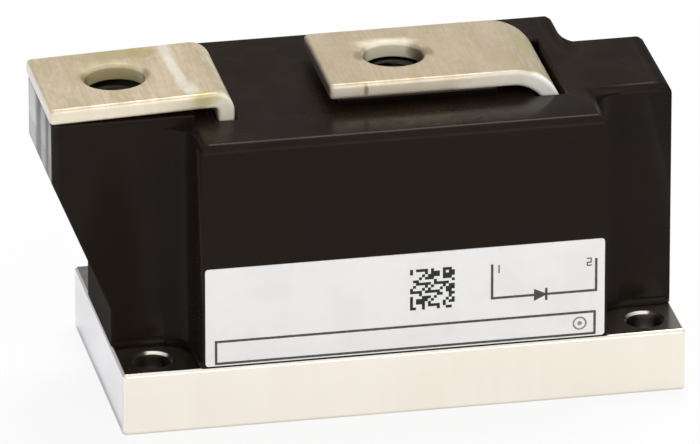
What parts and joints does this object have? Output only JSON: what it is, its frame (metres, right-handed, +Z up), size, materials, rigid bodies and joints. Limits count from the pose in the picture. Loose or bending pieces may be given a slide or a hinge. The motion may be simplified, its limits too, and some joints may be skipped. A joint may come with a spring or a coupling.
{
  "type": "diode module",
  "caption": "Diode power module with a plated base plate, corner mounting holes, a dark moulded housing with an overhanging end, and bent strap terminals over captive nuts.",
  "frame": {"origin": "centre of the base plate's underside", "axes": "+X along the plate to the plain end of the housing, +Y away from the label, +Z up from the heat sink"},
  "size_m": [0.1148, 0.05, 0.0602],
  "materials": {
    "base_plating": "nickel plated, satin",
    "housing_plastic": "moulded, satin",
    "label_film": "printed film",
    "strap_plating": "nickel plated, brushed and stained",
    "nut_steel": "black oxide",
    "insulator_ceramic": "fired ceramic",
    "molybdenum": "lapped",
    "silicon": "polished",
    "contact_plating": "silver plated",
    "inner_plastic": "moulded",
    "clamp_steel": "zinc plated",
    "spring_steel": "oiled",
    "screw_steel": "black oxide"
  },
  "bodies": {
    "root": {"base_plate": "base_plating", "housing": "housing_plastic", "label": "label_film", "terminal_1_strap": "strap_plating", "terminal_2_strap": "strap_plating", "terminal_1_nut": "nut_steel", "terminal_2_nut": "nut_steel", "ceramic_insulator": "insulator_ceramic", "molybdenum_disc": "molybdenum", "silicon_wafer": "silicon", "upper_contact_disc": "contact_plating", "centring_ring": "inner_plastic", "insulating_cup": "inner_plastic", "pressure_plate": "clamp_steel", "disc_springs": "spring_steel", "clamp_yoke": "clamp_steel", "clamp_washers": "clamp_steel", "clamp_screws": "screw_steel"}
  },
  "joints": []
}
